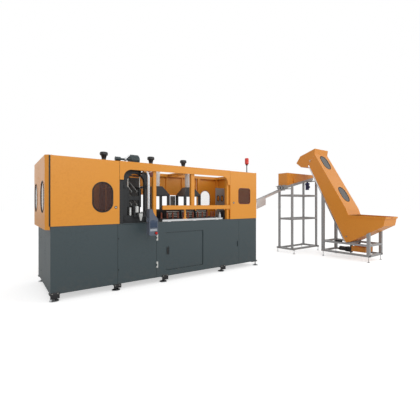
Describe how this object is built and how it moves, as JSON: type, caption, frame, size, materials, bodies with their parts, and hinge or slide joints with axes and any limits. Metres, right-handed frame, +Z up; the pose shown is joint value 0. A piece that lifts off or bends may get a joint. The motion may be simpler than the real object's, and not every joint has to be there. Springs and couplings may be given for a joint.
{
  "type": "blow moulding machine",
  "caption": "Linear stretch blow moulding machine with an open-roofed enclosure on a closed base, joined by a chute to a roller sorter, with a hopper elevator standing beside it",
  "frame": {"origin": "on the floor under the middle of the whole line's outline", "axes": "+X along the line from the enclosure's left end to the elevator, +Y from the front to the back, +Z up"},
  "size_m": [7.024, 3.078, 2.8],
  "materials": {
    "orange_paint": "satin powder coat",
    "base_grey": "satin powder coat",
    "frame_grey": "satin paint",
    "black_paint": "semi-gloss paint",
    "white_paint": "satin paint",
    "machined_steel": "machined",
    "cast_black": "painted casting",
    "aluminium": "anodised",
    "window_glass": "clear",
    "door_glass": "tinted",
    "black_plastic": "fine grain",
    "pendant_grey": "fine grain",
    "red_lens": "moulded lens",
    "red_button": "gloss",
    "preform_plastic": "gloss",
    "duct_white": "ribbed",
    "belt_rubber": "matt",
    "quartz": "clear tube",
    "motor_blue": "gloss paint"
  },
  "bodies": {
    "machine": {"base_frame": "frame_grey", "table_plate": "machined_steel", "base_panels": "base_grey", "base_door_hinges": "white_paint", "levelling_feet": "machined_steel", "upper_frame": "orange_paint", "left_end_cover": "orange_paint", "header_panel": "orange_paint", "right_end_panel": "orange_paint", "rear_panels": "orange_paint", "window_panes": "window_glass", "guard_frame": "orange_paint", "guide_rail": "aluminium", "roof_caps": "black_paint", "roof_blower": "base_grey", "beacon_pole": "black_plastic", "beacon_lens": "red_lens", "oven_hoods": "black_paint", "exhaust_ducts": "duct_white", "preform_track": "machined_steel", "preform_carriers": "preform_plastic", "lamp_banks": "black_paint", "heater_lamps": "quartz", "infeed_plate": "frame_grey", "clamp_yokes": "cast_black", "tie_bars": "machined_steel", "clamp_pneumatics": "white_paint", "stretch_unit": "machined_steel", "chute": "aluminium", "sorter_stand": "frame_grey", "sorter_trough": "orange_paint", "sorter_motor": "motor_blue", "elevator_frame": "frame_grey", "elevator_casing": "orange_paint", "elevator_hood": "orange_paint", "hopper": "orange_paint", "cleated_belt": "belt_rubber", "elevator_gearmotor": "black_paint"},
    "base_door_leaf": {"base_door": "base_grey"},
    "service_door_leaf": {"service_door": "base_grey"},
    "service_latch": {"latch_lever": "black_plastic"},
    "left_door": {"front_left_door": "orange_paint", "left_door_pane": "door_glass"},
    "left_lock": {"left_door_lock": "machined_steel"},
    "right_door": {"front_right_door": "orange_paint", "right_door_pane": "door_glass"},
    "right_lock": {"right_door_lock": "machined_steel"},
    "front_platen": {"front_mould_platen": "machined_steel"},
    "rear_platen": {"rear_mould_platen": "machined_steel"},
    "toggle_crosshead": {"crosshead": "cast_black"},
    "upper_toggle": {"upper_links": "machined_steel"},
    "lower_toggle": {"lower_links": "machined_steel"},
    "stretch_slide": {"stretch_carriage": "machined_steel"},
    "pendant": {"pendant_arm": "aluminium", "control_pendant": "pendant_grey"},
    "stop_push": {"stop_button": "red_button"},
    "front_roller": {"front_sorter_roller": "machined_steel"},
    "rear_roller": {"rear_sorter_roller": "machined_steel"},
    "elevator_head": {"head_drum": "machined_steel"},
    "elevator_tail": {"tail_drum": "machined_steel"}
  },
  "joints": [
    {"name": "base_door_swing", "type": "hinge", "parent": "machine", "child": "base_door_leaf", "pos_m": [-1.884, 0.1136, 0.545], "axis": [0, 0, 1], "range_deg": [0, 33]},
    {"name": "service_door_swing", "type": "hinge", "parent": "machine", "child": "service_door_leaf", "pos_m": [-0.948, 0.144, 0.52], "axis": [0, 0, 1], "range_deg": [0, 90]},
    {"name": "latch_lift", "type": "hinge", "parent": "service_door_leaf", "child": "service_latch", "pos_m": [-1.667, 0.138, 0.578], "axis": [-1, 0, 0], "range_deg": [0, 35]},
    {"name": "left_door_swing", "type": "hinge", "parent": "machine", "child": "left_door", "pos_m": [-3.438, 0.127, 1.5], "axis": [0, 0, -1], "range_deg": [0, 110]},
    {"name": "left_lock_turn", "type": "hinge", "parent": "left_door", "child": "left_lock", "pos_m": [-2.568, 0.113, 1.282], "axis": [0, 1, 0], "range_deg": [0, 90]},
    {"name": "right_door_swing", "type": "hinge", "parent": "machine", "child": "right_door", "pos_m": [0.452, 0.127, 1.5], "axis": [0, 0, 1], "range_deg": [0, 110]},
    {"name": "right_lock_turn", "type": "hinge", "parent": "right_door", "child": "right_lock", "pos_m": [-0.182, 0.113, 1.357], "axis": [0, 1, 0], "range_deg": [0, 90]},
    {"name": "mould_open_front", "type": "slide", "parent": "machine", "child": "front_platen", "axis": [0, -1, 0], "range_m": [0, 0.04]},
    {"name": "mould_open_rear", "type": "slide", "parent": "machine", "child": "rear_platen", "axis": [0, 1, 0], "range_m": [0, 0.04]},
    {"name": "crosshead_lower", "type": "slide", "parent": "machine", "child": "toggle_crosshead", "axis": [0, 0, -1], "range_m": [0, 0.0602]},
    {"name": "upper_toggle_turn", "type": "hinge", "parent": "toggle_crosshead", "child": "upper_toggle", "pos_m": [-2.207, 0.313, 1.54], "axis": [1, 0, 0], "range_deg": [0, 12.02]},
    {"name": "lower_toggle_turn", "type": "hinge", "parent": "toggle_crosshead", "child": "lower_toggle", "pos_m": [-2.207, 0.313, 1.32], "axis": [1, 0, 0], "range_deg": [0, 12.02]},
    {"name": "stretch_rise", "type": "slide", "parent": "machine", "child": "stretch_slide", "axis": [0, 0, 1], "range_m": [0, 0.16]},
    {"name": "pendant_swing", "type": "hinge", "parent": "machine", "child": "pendant", "pos_m": [-2.124, 0.183, 1.5], "axis": [0, 0, 1], "range_deg": [-45, 45]},
    {"name": "stop_press", "type": "slide", "parent": "pendant", "child": "stop_push", "axis": [0, 1, 0], "range_m": [0, 0.005], "stiffness_N_per_m": 400},
    {"name": "front_roller_spin", "type": "hinge", "parent": "machine", "child": "front_roller", "pos_m": [2.312, 0.862, 1.8], "axis": [0.9744, 0, 0.225], "continuous": true},
    {"name": "rear_roller_spin", "type": "hinge", "parent": "machine", "child": "rear_roller", "pos_m": [2.312, 0.954, 1.8], "axis": [0.9744, 0, 0.225], "continuous": true},
    {"name": "head_drum_spin", "type": "hinge", "parent": "machine", "child": "elevator_head", "pos_m": [2.742, 0.32963, 2.48779], "axis": [1, 0, 0], "continuous": true},
    {"name": "tail_drum_spin", "type": "hinge", "parent": "machine", "child": "elevator_tail", "pos_m": [2.742, -0.67068, 0.55084], "axis": [1, 0, 0], "continuous": true}
  ],
  "couplings": [
    {"joint": "mould_open_rear", "follows": "mould_open_front", "ratio": 1},
    {"joint": "crosshead_lower", "follows": "mould_open_front", "ratio": 1.5045},
    {"joint": "upper_toggle_turn", "follows": "mould_open_front", "rad_per_m": 5.2414},
    {"joint": "lower_toggle_turn", "follows": "mould_open_front", "rad_per_m": 5.2414},
    {"joint": "rear_roller_spin", "follows": "front_roller_spin", "ratio": -1},
    {"joint": "tail_drum_spin", "follows": "head_drum_spin", "ratio": 1}
  ]
}
